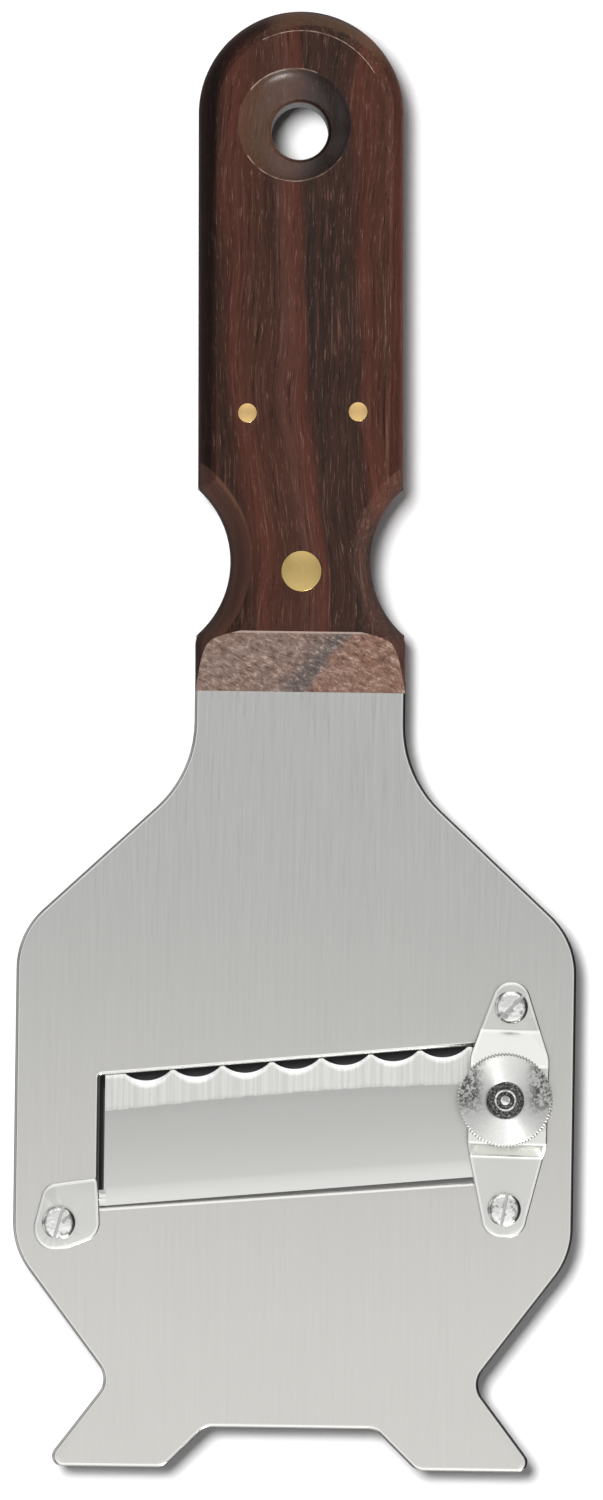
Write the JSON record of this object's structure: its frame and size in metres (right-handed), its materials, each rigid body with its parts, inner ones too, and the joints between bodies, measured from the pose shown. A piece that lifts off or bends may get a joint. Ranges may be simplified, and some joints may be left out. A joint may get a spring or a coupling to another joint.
{
  "type": "adjustable truffle and cheese slicer",
  "caption": "Flat stainless hand slicer with a wavy blade in a slanted window, a thumb wheel that tilts the blade, fishtail feet and a hardwood handle.",
  "frame": {"origin": "under the middle of the tool's length and of the plate's width, at the handle's back face", "axes": "+Y from the feet to the handle's end, +Z out of the face that carries the bridge and the thumb wheel, +X to the bridge's side"},
  "size_m": [0.084, 0.2186, 0.0204],
  "materials": {
    "plate_steel": "fine satin brushed sheet",
    "blade_steel": "ground, with a ribbed bevel",
    "bright_steel": "satin with polished edges",
    "screw_steel": "turned and polished",
    "wheel_steel": "faced and knurled",
    "rosewood": "oiled, fine dark grain",
    "brass": "ground flush"
  },
  "bodies": {
    "slicer": {"plate": "plate_steel", "handle": "rosewood", "left_pin": "brass", "right_pin": "brass", "rivet_front": "brass", "rivet_back": "brass", "corner_clip": "bright_steel", "clip_screw": "screw_steel", "bridge": "bright_steel", "top_bridge_screw": "screw_steel", "bottom_bridge_screw": "screw_steel"},
    "blade": {"blade": "blade_steel"},
    "carriage": {"upper_washer": "screw_steel", "lower_washer": "screw_steel"},
    "adjuster": {"adjusting_screw": "screw_steel", "thumb_wheel": "wheel_steel"}
  },
  "joints": [
    {"name": "screw_feed", "type": "slide", "parent": "slicer", "child": "carriage", "axis": [0, 0, -1], "range_m": [0, 0.00158]},
    {"name": "screw_turn", "type": "hinge", "parent": "carriage", "child": "adjuster", "pos_m": [0.0314, -0.0532, 0.014], "axis": [0, 0, -1], "range_deg": [0, 810]},
    {"name": "blade_tilt", "type": "hinge", "parent": "slicer", "child": "blade", "pos_m": [-0.02943, -0.06911, 0.00895], "axis": [-0.9958, -0.0915, 0], "range_deg": [0, 8.79]}
  ],
  "couplings": [
    {"joint": "screw_feed", "follows": "screw_turn", "m_per_rad": 0.00011141},
    {"joint": "blade_tilt", "follows": "screw_turn", "ratio": 0.010844}
  ]
}
